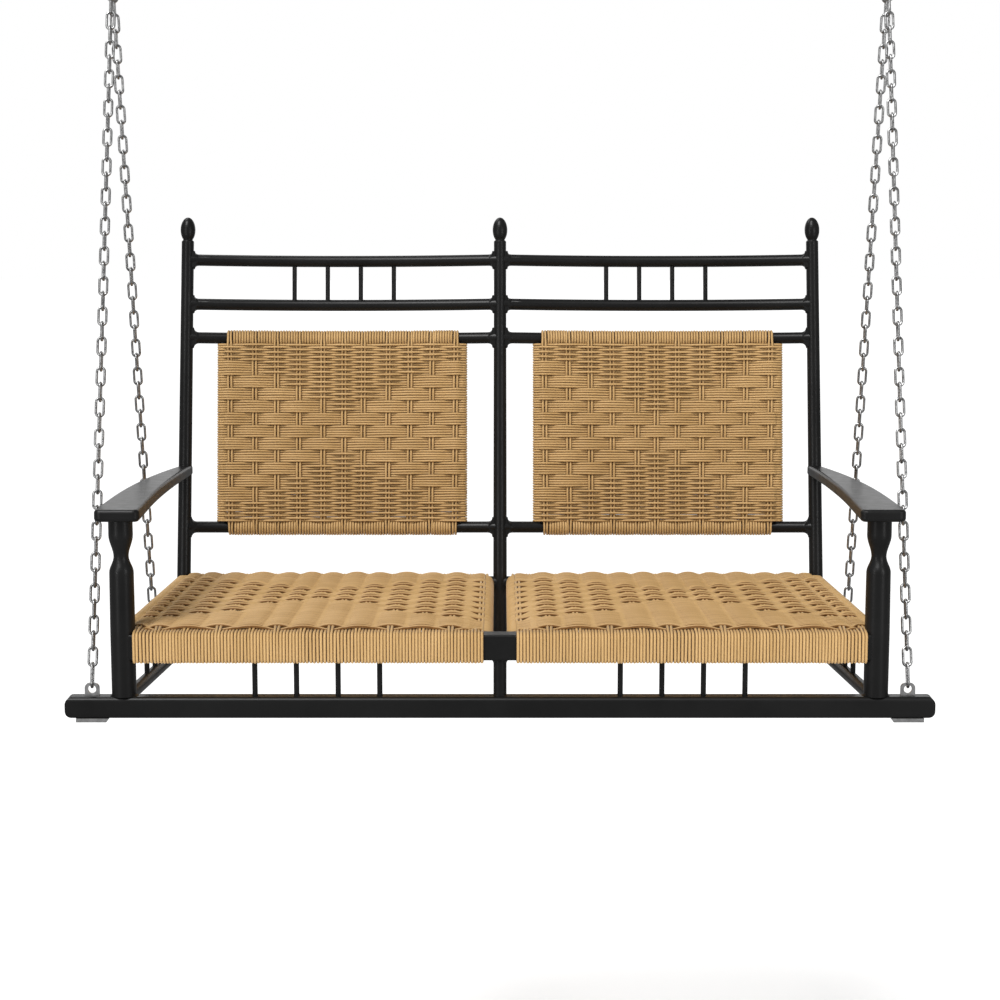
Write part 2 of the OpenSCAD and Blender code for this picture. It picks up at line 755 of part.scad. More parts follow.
back_rail(false, crest_s);  // left_crest_rail
back_rail(true, crest_s);  // right_crest_rail
back_rail(false, second_s);  // left_second_rail
back_rail(true, second_s);  // right_second_rail
back_rail(false, panel_top_s);  // left_panel_top_rail
back_rail(true, panel_top_s);  // right_panel_top_rail
back_rail(false, panel_bottom_s);  // left_panel_bottom_rail
back_rail(true, panel_bottom_s);  // right_panel_bottom_rail
panel_rods(false);  // left_panel_rods
panel_rods(true);  // right_panel_rods
crest_spindles();
arm(false);  // left_arm
arm(true);  // right_arm
woven_back(false);  // left_woven_back
woven_back(true);  // right_woven_back
woven_seat(false);  // left_woven_seat
woven_seat(true);  // right_woven_seat
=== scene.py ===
"""Two-seat hanging porch swing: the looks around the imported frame.

Metres, in the row frame: +X right, +Y back, +Z up. Design sizes below are in millimetres
from the datum, which is the middle of the front bottom rail's top face.
"""
import json
import math
import random

import bpy
import numpy as np
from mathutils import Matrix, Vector


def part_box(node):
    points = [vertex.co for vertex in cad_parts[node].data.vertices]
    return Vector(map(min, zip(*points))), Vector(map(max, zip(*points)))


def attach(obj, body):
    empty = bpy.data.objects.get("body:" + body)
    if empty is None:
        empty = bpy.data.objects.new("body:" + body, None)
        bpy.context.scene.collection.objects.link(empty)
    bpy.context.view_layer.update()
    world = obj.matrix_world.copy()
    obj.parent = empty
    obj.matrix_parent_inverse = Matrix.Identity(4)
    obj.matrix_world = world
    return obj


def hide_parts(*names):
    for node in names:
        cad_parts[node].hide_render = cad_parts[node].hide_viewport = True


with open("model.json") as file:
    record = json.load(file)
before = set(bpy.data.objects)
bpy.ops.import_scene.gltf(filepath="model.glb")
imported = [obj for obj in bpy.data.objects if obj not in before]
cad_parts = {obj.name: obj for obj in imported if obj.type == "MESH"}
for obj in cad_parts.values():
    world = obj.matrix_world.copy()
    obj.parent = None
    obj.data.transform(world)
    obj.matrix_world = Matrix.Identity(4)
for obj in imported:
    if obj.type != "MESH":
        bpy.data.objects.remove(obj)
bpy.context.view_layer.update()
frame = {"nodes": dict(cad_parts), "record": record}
NODES = frame["nodes"]
SWING = "swing"
random.seed(7)

MM = 0.001


def middle(node):
    """The middle of a CAD node's box."""
    lo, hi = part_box(node)
    return (lo + hi) / 2


# The datum, read off the frame
DATUM = Vector((0, middle("front_bottom_rail").y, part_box("front_bottom_rail")[1].z))


# ---------- sizes shared with the frame, in mm ----------

LEAN = math.radians(9)            # of the back
SEAT_DEPTH = (middle("rear_bottom_rail").y - DATUM.y) / MM    # between the bottom rails
RAIL_R = 10.0                     # round rails
REAR_RAIL_R = 11.0
ROD_R = 6.0
RAIL_BOW = 22.0
BACK_POST_X = 556.5
BACK_DRAW = 6.0 / 690.0           # inward run of the outer back posts per mm
FRONT_POST_X = 578.5
SIDE_IN = (FRONT_POST_X - BACK_POST_X) / SEAT_DEPTH
PANEL_TOP, PANEL_BOTTOM = 520.7, 187.0
ROD_X = (67.5, 489.0)
INNER_RAIL_X = 25.5
SIDE_RAIL_Z = (92.5, 88.5)        # outer seat rails, front and rear
INNER_RAIL_Z = (83.5, 88.5)
REAR_RAIL_Y = SEAT_DEPTH + SIDE_RAIL_Z[1] * math.tan(LEAN)


def to_row(points):
    """An (n, 3) array in mm from the datum, as metres in the row frame."""
    return np.asarray(points, float) * MM + np.array(DATUM)


def back_to_datum(points):
    """From the leaning back's own (x, behind, along) to mm from the datum."""
    x, behind, along = np.asarray(points, float).T
    return np.stack([
        x,
        SEAT_DEPTH + behind * math.cos(LEAN) + along * math.sin(LEAN),
        along * math.cos(LEAN) - behind * math.sin(LEAN),
    ], axis=1)


def bow_circle(along):
    """Middle x and radius of the arc of a bent back rail."""
    half = (BACK_POST_X - along * BACK_DRAW) / 2
    return half, (half * half + RAIL_BOW ** 2) / (2 * RAIL_BOW)


def bow(x, along):
    """How far a bent back rail stands behind the line of the posts."""
    half, radius = bow_circle(along)
    return np.sqrt(radius ** 2 - (x - half) ** 2) - radius + RAIL_BOW


def smooth_step(t):
    return t * t * (3 - 2 * t)


# ---------- rope tubes ----------

TUBE_SIDES = 8


def tube_mesh(name, loops, across):
    """One smooth mesh of round, closed loops of rope.

    loops is a list of (points, radius), points in the row frame. across is the direction
    that no loop runs along. Each loop keeps a random shade in "strand".
    """
    sides = TUBE_SIDES
    turn = np.arange(sides) * 2 * np.pi / sides
    verts, faces, uvs, shades = [], [], [], []
    start = 0
    ref = np.array(across, float)
    for points, radius in loops:
        p = np.asarray(points, float)
        n = len(p)
        ahead, behind = np.roll(p, -1, 0), np.roll(p, 1, 0)
        tangent = ahead - behind
        tangent /= np.linalg.norm(tangent, axis=1)[:, None]
        side = np.cross(tangent, ref)
        side /= np.linalg.norm(side, axis=1)[:, None]
        up = np.cross(side, tangent)
        ring = (side[:, None, :] * np.cos(turn)[None, :, None]
                + up[:, None, :] * np.sin(turn)[None, :, None])
        verts.append((p[:, None, :] + ring * radius * MM).reshape(-1, 3))
        i, k = np.arange(n)[:, None], np.arange(sides)[None, :]
        j, k_next = (i + 1) % n, (k + 1) % sides
        quad = np.stack(np.broadcast_arrays(i * sides + k, i * sides + k_next,
                                            j * sides + k_next, j * sides + k), axis=-1)
        faces.append(quad.reshape(-1, 4) + start)
        length = np.concatenate([[0], np.cumsum(np.linalg.norm(ahead - p, axis=1))])
        u0, u1 = length[:-1, None], length[1:, None]
        v0, v1 = k / sides, (k + 1) / sides
        corners = ((u0, v0), (u0, v1), (u1, v1), (u1, v0))
        uv = np.stack([np.stack(np.broadcast_arrays(u, v), -1) for u, v in corners], axis=2)
        uvs.append(uv.reshape(-1, 2))
        shades.append(np.full(n * sides, random.random()))
        start += n * sides
    verts, faces, uvs, shades = map(np.concatenate, (verts, faces, uvs, shades))
    mesh = bpy.data.meshes.new(name)
    mesh.vertices.add(len(verts))
    mesh.vertices.foreach_set("co", verts.ravel())
    mesh.loops.add(len(faces) * 4)
    mesh.loops.foreach_set("vertex_index", faces.ravel().astype(np.int32))
    mesh.polygons.add(len(faces))
    mesh.polygons.foreach_set("loop_start", np.arange(len(faces), dtype=np.int32) * 4)
    mesh.update(calc_edges=True)
    mesh.uv_layers.new(name="along").data.foreach_set("uv", uvs.ravel())
    shade = mesh.attributes.new("strand", "FLOAT", "POINT")
    shade.data.foreach_set("value", shades.astype(np.float32))
    mesh.polygons.foreach_set("use_smooth", np.ones(len(faces), bool))
    mesh.validate()
    obj = bpy.data.objects.new(name, mesh)
    bpy.context.scene.collection.objects.link(obj)
    return obj


# ---------- materials ----------

ROPE_TURNS_PER_M = 70


def new_material(name):
    mat = bpy.data.materials.new(name)
    mat.use_nodes = True
    nodes = mat.node_tree.nodes
    return mat, nodes, mat.node_tree.links, nodes["Principled BSDF"]


def ramp(nodes, stops):
    node = nodes.new("ShaderNodeValToRGB")
    elements = node.color_ramp.elements
    elements[0].position, elements[0].color = stops[0][0], (*stops[0][1], 1)
    elements[1].position, elements[1].color = stops[-1][0], (*stops[-1][1], 1)
    for at, colour in stops[1:-1]:
        elements.new(at).color = (*colour, 1)
    return node


def noise(nodes, links, scale, detail, source):
    node = nodes.new("ShaderNodeTexNoise")
    node.inputs["Scale"].default_value = scale
    node.inputs["Detail"].default_value = detail
    links.new(source, node.inputs["Vector"])
    return node.outputs["Fac"]


def maths(nodes, links, operation, *terms):
    """A Math node on sockets and numbers."""
    node = nodes.new("ShaderNodeMath")
    node.operation = operation
    for socket, term in zip(node.inputs, terms):
        if isinstance(term, (int, float)):
            socket.default_value = term
        else:
            links.new(term, socket)
    return node.outputs[0]


def multiplied(nodes, links, one, other):
    """One colour times another."""
    node = nodes.new("ShaderNodeMix")
    node.data_type = "RGBA"
    node.blend_type = "MULTIPLY"
    node.inputs["Factor"].default_value = 1
    links.new(one, node.inputs["A"])
    links.new(other, node.inputs["B"])
    return node.outputs["Result"]


def spread(nodes, links, source, low, high, from_low=0):
    """The source's range, from_low to 1, mapped to low to high."""
    node = nodes.new("ShaderNodeMapRange")
    links.new(source, node.inputs["Value"])
    node.inputs["From Min"].default_value = from_low
    node.inputs["To Min"].default_value = low
    node.inputs["To Max"].default_value = high
    return node.outputs["Result"]


def toned(nodes, links, source, stops):
    """A colour ramp on a source."""
    node = ramp(nodes, stops)
    links.new(source, node.inputs["Fac"])
    return node.outputs["Color"]


def bumped(nodes, links, shader, height, strength, distance):
    node = nodes.new("ShaderNodeBump")
    node.inputs["Strength"].default_value = strength
    node.inputs["Distance"].default_value = distance
    links.new(height, node.inputs["Height"])
    links.new(node.outputs["Normal"], shader.inputs["Normal"])


def rope_material():
    """Tan twisted cord: fine helical fibres, each strand a little different in shade, with painted
    shade in the fibre grooves and on the flanks between strands.
    """
    mat, nodes, links, shader = new_material("rope")
    uv = nodes.new("ShaderNodeUVMap")
    uv.uv_map = "along"
    split = nodes.new("ShaderNodeSeparateXYZ")
    links.new(uv.outputs["UV"], split.inputs["Vector"])
    along, around = split.outputs["X"], split.outputs["Y"]
    strand = nodes.new("ShaderNodeAttribute")
    strand.attribute_name = "strand"
    place = nodes.new("ShaderNodeTexCoord").outputs["Object"]
    mottle = noise(nodes, links, 14, 2, place)
    shade = maths(nodes, links, "MULTIPLY_ADD", strand.outputs["Fac"], 0.35, mottle)
    colour = toned(nodes, links, shade, [(0.35, (0.53, 0.325, 0.122)), (0.95, (0.63, 0.4, 0.165))])
    # Six fibres wind round the strand, once every 14 mm; painted shade darkens the grooves between
    # them
    turns = maths(nodes, links, "MULTIPLY_ADD", along, ROPE_TURNS_PER_M, around)
    wave = maths(nodes, links, "SINE", maths(nodes, links, "MULTIPLY", turns, 2 * math.pi * 6))
    fibre = noise(nodes, links, 900, 2, place)
    height = maths(nodes, links, "MULTIPLY_ADD", fibre, 1.2, wave)
    # Painted shade: the colour darkens where the fibre bump is low, in the grooves
    groove_shade = spread(nodes, links, wave, 0.93, 1.0, from_low=-1)
    colour = multiplied(nodes, links, colour, groove_shade)
    # Painted shade: the flanks that face the next strand, at a quarter and three quarters round, are
    # darkened where the neighbouring strands would shade them
    flank = maths(nodes, links, "SINE", maths(nodes, links, "MULTIPLY", around, 2 * math.pi))
    square = maths(nodes, links, "MULTIPLY", flank, flank)
    crevice_shade = toned(nodes, links, square, [(0.3, (1, 1, 1)), (1.0, (0.36, 0.25, 0.14))])
    links.new(multiplied(nodes, links, colour, crevice_shade), shader.inputs["Base Color"])
    bumped(nodes, links, shader, height, 0.35, 0.00012)
    shader.inputs["Roughness"].default_value = 0.5
    shader.inputs["Specular IOR Level"].default_value = 0.4
    shader.inputs["Sheen Weight"].default_value = 0.15
    shader.inputs["Sheen Roughness"].default_value = 0.4
    return mat


def paint_material():
    """Satin black paint: a faint cloudiness, uneven gloss and a fine brushed texture."""
    mat, nodes, links, shader = new_material("black_paint")
    place = nodes.new("ShaderNodeTexCoord").outputs["Object"]
    tone = toned(nodes, links, noise(nodes, links, 9, 5, place),
                 [(0.3, (0.0055,) * 3), (0.7, (0.0095,) * 3)])
    links.new(tone, shader.inputs["Base Color"])
    gloss = spread(nodes, links, noise(nodes, links, 60, 4, place), 0.28, 0.4)
    links.new(gloss, shader.inputs["Roughness"])
    bumped(nodes, links, shader, noise(nodes, links, 420, 3, place), 0.12, 0.0004)
    shader.inputs["Specular IOR Level"].default_value = 0.25
    return mat


def zinc_material(name, low, high, roughness):
    """Zinc-plated steel: crystalline mottling and uneven gloss."""
    mat, nodes, links, shader = new_material(name)
    place = nodes.new("ShaderNodeTexCoord").outputs["Object"]
    cell = nodes.new("ShaderNodeTexVoronoi")
    cell.inputs["Scale"].default_value = 260
    links.new(place, cell.inputs["Vector"])
    cloud = noise(nodes, links, 130, 4, place)
    both = maths(nodes, links, "MULTIPLY_ADD", cell.outputs["Color"], 0.35, cloud)
    tone = toned(nodes, links, both, [(0.35, (low,) * 3), (0.9, (high,) * 3)])
    links.new(tone, shader.inputs["Base Color"])
    gloss = spread(nodes, links, cloud, roughness - 0.08, roughness + 0.1)
    links.new(gloss, shader.inputs["Roughness"])
    bumped(nodes, links, shader, cloud, 0.1, 0.0002)
    shader.inputs["Metallic"].default_value = 1.0
    return mat


ROPE = rope_material()
PAINT = paint_material()
CHAIN_ZINC = zinc_material("chain_zinc", 0.26, 0.56, 0.28)
PLATE_ZINC = zinc_material("plate_zinc", 0.45, 0.64, 0.38)


def paint_frame():
    """Every CAD node that stays takes its material by its record slot."""
    slots = {part["node"]: part["material_slot"] for part in frame["record"]["subparts"]}
    looks = {"black_timber": PAINT, "chain_steel": CHAIN_ZINC, "bracket_steel": PLATE_ZINC,
             "hardware_steel": PLATE_ZINC, "rope": ROPE}
    for name, node in NODES.items():
        node.data.materials.clear()
        node.data.materials.append(looks[slots[name]])


# ---------- the weave ----------

def finish_rope(obj, replaced):
    """A piece of rope rides on the swing in the place of its CAD node."""
    obj.data.materials.append(ROPE)
    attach(obj, SWING)
    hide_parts(replaced)


def plain(row, pair):
    """Plain weave: every strand goes over one pair and under the next."""
    return 1 if (row + pair) % 2 == 0 else -1


def back_cell(row, pair):
    """+1 where a weft passes over a warp pair of the woven back, -1 where it goes under.

    Bands of five strands weave as one near the sides, and a diamond of plain weave points
    in from the top and the bottom.
    """
    first, bands, last = 8, 11, 12
    band = (row - first) // 5 + 1
    if 1 <= band <= bands and min(pair, last - pair) <= min(band, last - band) + 1:
        return 1 if (pair + band) % 2 == 0 else -1
    return plain(row, pair)


def seat_cell(row, pair):
    """The same for a seat, where the edge pairs, 0 and 12, follow their neighbours."""
    first, bands, last = 16, 17, 12
    near = max(1, min(pair, last - pair))
    band = (row - first) // 5
    front = near if near <= 3 else near + 2
    if front - 1 <= band <= 16 - near and 0 <= band < bands:
        return 1 if (near + band) % 2 == 0 else -1
    return plain(row, near)


def warp_shift(cells):
    """How far a warp pair is pushed from the middle at each row, against the wefts."""
    c = np.asarray(cells, float)
    padded = np.concatenate([c[:1], c, c[-1:]])
    mean = (padded[:-2] + padded[1:-1] + padded[2:]) / 3
    return -mean


PAIR_HALF = 2.9        # half the spacing of the two strands of a warp pair
RAIL_SQUEEZE = 0.82    # the strands of a pair lie closer on a rail
FLAT = 5.5             # half the stretch over which a weft stays level on a pair


def eased(t):
    """From one pair straight to the next."""
    return 1 - smooth_step(t)


def humped(t):
    """From one pair, back to the middle of the layer half way to the next."""
    return 1 - smooth_step(min(2 * t, 1))


def weft_profile(ends, pairs, offsets, end_offsets, fade):
    """x positions and offsets of one weft from end to end across the warp pairs."""
    xs, out = [], []
    knots = [(ends[0], ends[0], end_offsets[0])]
    knots += [(x - FLAT, x + FLAT, o) for x, o in zip(pairs, offsets)]
    knots += [(ends[1], ends[1], end_offsets[1])]
    for (a0, a1, oa), (b0, b1, ob) in zip(knots, knots[1:]):
        xs.append(a1)
        out.append(oa)
        gap = b0 - a1
        if gap > 8:
            for t in (0.2, 0.4, 0.6, 0.8):
                xs.append(a1 + gap * t)
                out.append(oa * fade(t) + ob * fade(1 - t))
        if b1 > b0:
            xs.append(b0)
            out.append(ob)
            xs.append((b0 + b1) / 2)
            out.append(ob * 1.06)
    xs.append(ends[1])
    out.append(end_offsets[1])
    return np.array(xs), np.array(out)


def arc_points(centre_x, centre_n, radius, start, stop, steps=7):
    """Points of an arc in the (x, n) plane, ends left out, angles in degrees."""
    a = np.radians(np.linspace(start, stop, steps + 2)[1:-1])
    return centre_x + radius * np.cos(a), centre_n + radius * np.sin(a)


# Warp pairs of a woven back, outer side first
BACK_PAIRS = [476.6, 433.4, 394.8, 356.2, 313.0, 275.8, 241.5, 197.4, 158.6, 119.8, 77.5]
BACK_ROWS = 72
BACK_TOP_ROW, BACK_PITCH = 508.8, 4.37
# How far a weft stands off its layer in the bands and in plain weave, and a warp pair
BACK_BASKET, BACK_PLAIN, BACK_WARP_SHIFT = 2.9, 3.0, 1.5
BACK_ROPE, BACK_TURN_ROPE = 2.12, 2.35                 # radii
BACK_WRAPS = ((PANEL_TOP, 72.0, 483.5), (PANEL_BOTTOM, 75.5, 477.0))
BACK_WRAP_PITCH = 4.81
BACK_HOLLOW = 1.8                # how far a layer sinks in half way down
WARP_BOW_AT = 350.0              # a warp strand follows the bow of this height

# Pairs of a back count from 1, and those of a seat from 0
SHIFTS_BACK = {pair: warp_shift([back_cell(row, pair) for row in range(BACK_ROWS)])
               for pair in range(1, len(BACK_PAIRS) + 1)}


def drawn_in(x, along):
    """The pairs draw in a little towards the bottom of a back."""
    middle_x, squeeze = 277.0, 0.015
    return x - (x - middle_x) * squeeze * (PANEL_TOP - along) / (PANEL_TOP - PANEL_BOTTOM)


def layer_depth(along):
    """Distance of a woven layer's middle from the middle of the rails."""
    t = (along - PANEL_BOTTOM) / (PANEL_TOP - PANEL_BOTTOM)
    return RAIL_R + BACK_ROPE - BACK_HOLLOW * np.sin(np.pi * np.clip(t, 0, 1))


def back_weft(row):
    """One weft, a closed loop round both rods of a bay, in the back's own mm."""
    along = BACK_TOP_ROW - BACK_PITCH * row
    pairs = [drawn_in(x, along) for x in BACK_PAIRS[::-1]]
    numbers = range(len(pairs), 0, -1)
    cells = [back_cell(row, pair) for pair in numbers]
    shifts = [SHIFTS_BACK[pair][row] for pair in numbers]
    offsets = [c * (BACK_PLAIN + (BACK_BASKET - BACK_PLAIN) * abs(s))
               for c, s in zip(cells, shifts)]
    depth = layer_depth(along)
    wrap = ROD_R + BACK_ROPE
    ends = ROD_X
    end_offsets = (wrap - depth, wrap - depth)
    jitter = random.uniform(-0.15, 0.15)
    front_x, off = weft_profile(ends, pairs, offsets, end_offsets, eased)
    front_n = bow(front_x, along) - (depth + off)
    ax, an = arc_points(ends[1], bow(ends[1], along), wrap, -90, 90)
    rear_x, off = weft_profile(ends, pairs, [-o for o in offsets], end_offsets, eased)
    rear_n = bow(rear_x, along) + (depth + off)
    bx, bn = arc_points(ends[0], bow(ends[0], along), wrap, 90, 270)
    xs = np.concatenate([front_x, ax, rear_x[::-1], bx])
    ns = np.concatenate([front_n, an, rear_n[::-1], bn])
    droop = 0.22 * np.sin(xs * 0.05 + row)
    return np.stack([xs, ns, np.full(len(xs), along + jitter) + droop], axis=1)


def back_warp(x, shift, pair):
    """One strand of a warp pair, a closed loop round the top and bottom rails of a back."""
    rows = np.arange(BACK_ROWS)
    along = BACK_TOP_ROW - BACK_PITCH * rows
    depth = layer_depth(along) + SHIFTS_BACK[pair] * BACK_WARP_SHIFT
    round_rail = RAIL_R + 2.3
    a = np.radians(np.linspace(0, 180, 11))
    bottom = np.stack([-round_rail * np.cos(a), PANEL_BOTTOM - round_rail * np.sin(a)], 1)
    top = np.stack([round_rail * np.cos(a), PANEL_TOP + round_rail * np.sin(a)], 1)
    front = np.stack([-depth, along], 1)
    rear = np.stack([depth[::-1], along[::-1]], 1)
    loop = np.concatenate([front, bottom, rear, top])
    on_rail = (loop[:, 1] > PANEL_TOP - 6) | (loop[:, 1] < PANEL_BOTTOM + 6)
    across = drawn_in(x, loop[:, 1]) + shift * np.where(on_rail, RAIL_SQUEEZE, 1)
    return np.stack([across, loop[:, 0] + bow(across, WARP_BOW_AT), loop[:, 1]], axis=1)


def wrap_places(low, high, pitch, taken):
    """Where the plain turns go on a rail: evenly in each gap between the warp strands."""
    marks = [low - pitch / 2] + sorted(taken) + [high + pitch / 2]
    places = []
    for a, b in zip(marks, marks[1:]):
        count = round((b - a) / pitch) - 1
        places += [a + (b - a) * (k + 1) / (count + 1) for k in range(max(count, 0))]
    return places


def back_wrap(x, along, radius):
    """One turn of rope round a bent rail, square to the rail."""
    a = np.linspace(0, 2 * np.pi, 20, endpoint=False)
    half, bow_radius = bow_circle(along)
    tilt = math.asin((x - half) / bow_radius)
    n = radius * np.cos(a)
    return np.stack([x + n * math.sin(tilt), bow(x, along) + n * math.cos(tilt),
                     along + radius * np.sin(a)], axis=1)


def mirrored(points, side):
    p = np.array(points, float)
    p[:, 0] *= side
    return p


def woven_back(word, side):
    """The rope of one back: wefts, warps and the turns that cover the rails between them."""
    def place(points):
        return to_row(back_to_datum(mirrored(points, side)))

    up_back = (0, math.sin(LEAN), math.cos(LEAN))
    wefts = [(place(back_weft(r)), BACK_ROPE) for r in range(BACK_ROWS)]
    half = BACK_ROWS // 2
    for part, some in (("upper", wefts[:half]), ("lower", wefts[half:])):
        piece = tube_mesh(f"{word}_back_wefts_{part}", some, up_back)
        finish_rope(piece, f"{word}_woven_back")
    strands = []
    for k, x in enumerate(BACK_PAIRS):
        for shift in (-PAIR_HALF, PAIR_HALF):
            strands.append((place(back_warp(x, shift, k + 1)), BACK_ROPE))
    finish_rope(tube_mesh(f"{word}_back_warps", strands, (1, 0, 0)), f"{word}_woven_back")
    turns = []
    for along, low, high in BACK_WRAPS:
        taken = [drawn_in(x, along) + shift * RAIL_SQUEEZE
                 for x in BACK_PAIRS for shift in (-PAIR_HALF, PAIR_HALF)]
        inside = [x for x in taken if low < x < high]
        for x in wrap_places(low, high, BACK_WRAP_PITCH, inside):
            radius = RAIL_R + BACK_TURN_ROPE + random.uniform(-0.1, 0.15)
            turns.append((place(back_wrap(x, along, radius)), BACK_TURN_ROPE))
    finish_rope(tube_mesh(f"{word}_back_rail_turns", turns, (1, 0, 0)), f"{word}_woven_back")


# Warp pairs of a seat at the front rail, outer edge first
SEAT_PAIRS = [557.0, 525.1, 481.8, 431.8, 381.5, 342.4, 302.7, 259.9, 218.2, 168.7, 120.3, 75.7, 30.0]
SEAT_ROWS = 106
INMOST = len(SEAT_PAIRS) - 1
SEAT_FIRST_ROW, SEAT_PITCH = 6.36, 4.66
SEAT_BASKET, SEAT_PLAIN, SEAT_WARP_SHIFT = 4.7, 1.7, 0.4
SEAT_REAR_RISE = 1.7            # the last plain wefts stand prouder
LOOSE_ROWS = 2                  # the first wefts, where the pairs swing out further
SEAT_ROPE, FRONT_TURN_ROPE, REAR_TURN_ROPE = 2.42, 2.5, 2.45      # radii
BEHIND_FRONT_RAIL = 23.5        # where the first wefts turn down
FRONT_RAIL = (-16.0, 16.0, 57.5, 97.5)      # front and rear faces, bottom and top
FRONT_CORNER_R = 6.0            # of the rope round the front rail
TURN_PIVOT_Z = 79               # about which a leaning turn on it leans
SEAT_WRAP_PITCH = 5.13
SEAT_FRONT_WRAP, SEAT_REAR_WRAP = (22.5, 556.0), (20.0, 536.0)


def rear_scale(x, y):
    """The seat draws in towards the back: x at depth y of a strand that starts at x."""
    share = SIDE_IN * y / (FRONT_POST_X - 6 - INNER_RAIL_X)
    return x - (x - INNER_RAIL_X) * share


def outer_rail(y):
    """(x, z) of the outer seat rail's middle."""
    share = y / REAR_RAIL_Y
    return (FRONT_POST_X - 3 - SIDE_IN * y + 2 * share,
            SIDE_RAIL_Z[0] + (SIDE_RAIL_Z[1] - SIDE_RAIL_Z[0]) * share)


def inner_rail(y):
    share = (y - 10) / (REAR_RAIL_Y - 10)
    return INNER_RAIL_X, INNER_RAIL_Z[0] + (INNER_RAIL_Z[1] - INNER_RAIL_Z[0]) * share


def seat_top(x, y):
    """Height of the middle of the top layer."""
    wide = outer_rail(y)[0] - INNER_RAIL_X
    t = (x - INNER_RAIL_X) / wide
    crown = 3.2 * (1 - np.abs(2 * t - 1) ** 7)
    lip = 0.8 * np.exp(-(np.asarray(y) - 6) / 14)
    return 102.3 - 2.8 * y / REAR_RAIL_Y + crown - lip


def seat_bottom(x, y):
    """Height of the middle of the bottom layer."""
    line = 58.0 + 17.0 * y / REAR_RAIL_Y
    lift = 0.6 * (80 - line) * np.sin(np.pi * np.clip(y / REAR_RAIL_Y, 0, 1))
    return line + lift


def seat_shifts():
    """Warp shifts of every pair; over the first, loose rows the pairs swing out further."""
    shifts = {}
    for pair in range(len(SEAT_PAIRS)):
        cells = [seat_cell(row, pair) for row in range(SEAT_ROWS)]
        shifts[pair] = warp_shift(cells)
        shifts[pair][:LOOSE_ROWS] = [-4.0 * c for c in cells[:LOOSE_ROWS]]
    return shifts


SHIFTS_SEAT = seat_shifts()


def bunching(row, pairs, xs):
    """How far a weft is drawn towards the middle of its band of five beside each pair."""
    place = (row - 16) % 5 - 2
    pull = np.zeros(len(xs))
    for k, x in enumerate(pairs):
        swings = SHIFTS_SEAT[INMOST - k]
        if abs(swings[row]) > 0.5 or abs(swings[row - 1]) > 0.5:
            near = 1 - smooth_step(np.clip((np.abs(xs - x) - 6) / 12, 0, 1))
            pull = np.maximum(pull, near)
    return -0.24 * place * SEAT_PITCH * pull


def seat_weft(row):
    """One weft of a seat, a closed loop round its two side rails, in mm from the datum."""
    y = SEAT_FIRST_ROW + SEAT_PITCH * row
    pairs = [rear_scale(x, y) for x in SEAT_PAIRS[::-1]]
    cells = [seat_cell(row, INMOST - k) for k in range(len(pairs))]
    shifts = [SHIFTS_SEAT[INMOST - k][row] for k in range(len(pairs))]
    rise = SEAT_PLAIN + SEAT_REAR_RISE * smooth_step(np.clip((row - SEAT_ROWS + 16) / 10, 0, 1))
    offsets = np.array([c * (rise + (SEAT_BASKET - rise) * min(abs(s), 1))
                        for c, s in zip(cells, shifts)])
    if row < LOOSE_ROWS:
        offsets = 2.8 * np.array(cells)
    turn_y = max(y, BEHIND_FRONT_RAIL)
    ox, oz = outer_rail(turn_y)
    ix, iz = inner_rail(turn_y)
    wrap = RAIL_R + SEAT_ROPE
    top_ends = (iz + wrap - seat_top(ix, y), oz + wrap - seat_top(ox, y))
    offsets_top = offsets.copy()
    offsets_top[0] = iz + wrap + 0.9 + cells[0] * 2.0 - seat_top(pairs[0], y)
    top_x, off = weft_profile((ix, ox), pairs, offsets_top, top_ends, humped)
    top_z = seat_top(top_x, y) + off
    # The inmost pair lies on the rail, so the points before it would double back
    keep = (top_x > ix + 1) | (np.arange(len(top_x)) == 0)
    ax, az = arc_points(ox, oz, wrap, 90, -90)
    low_ends = (iz - wrap - seat_bottom(ix, y), oz - wrap - seat_bottom(ox, y))
    offsets_low = -offsets
    offsets_low[0] = iz - wrap - 2.3 - cells[0] * 2.3 - seat_bottom(pairs[0], y)
    low_x, off = weft_profile((ix, ox), pairs, offsets_low, low_ends, humped)
    low_z = seat_bottom(low_x, y) + off
    bx, bz = arc_points(ix, iz, wrap, 270, 90)
    xs = np.concatenate([top_x[keep], ax, low_x[keep][::-1], bx])
    zs = np.concatenate([top_z[keep], az, low_z[keep][::-1], bz])
    # The first wefts draw back behind the front rail at their ends and all along underneath
    drawn = 1 - smooth_step(np.clip((xs - ix - 2) / 16, 0, 1))
    drawn += smooth_step(np.clip((xs - ox + 36) / 18, 0, 1))
    drawn[np.count_nonzero(keep):] = 1
    ys = y + (turn_y - y) * drawn + bunching(row, pairs, xs)
    sway = 0.3 * np.sin(xs * 0.04 + 1.7 * row) + random.uniform(-0.2, 0.2)
    return np.stack([xs, ys + sway, zs], axis=1)


def round_corner(y, z, start, stop, steps):
    """A quarter turn in the (y, z) plane, angles in degrees."""
    a = np.radians(np.linspace(start, stop, steps))
    return np.stack([y + FRONT_CORNER_R * np.cos(a), z + FRONT_CORNER_R * np.sin(a)], 1)


def corner_middles(offset):
    """Front and rear y, low and high z of the corners' middles of a turn round the rail."""
    grow = offset - FRONT_CORNER_R
    return (FRONT_RAIL[0] - grow, FRONT_RAIL[1] + grow, FRONT_RAIL[2] - grow, FRONT_RAIL[3] + grow)


def front_turn(offset):
    """The (y, z) loop of a turn round the square front rail, from the top rear corner."""
    y0, y1, z0, z1 = corner_middles(offset)
    corners = ((y1, z1), (y0, z1), (y0, z0), (y1, z0))
    return np.concatenate([round_corner(y, z, 90 * k, 90 * k + 90, 5)
                           for k, (y, z) in enumerate(corners)])


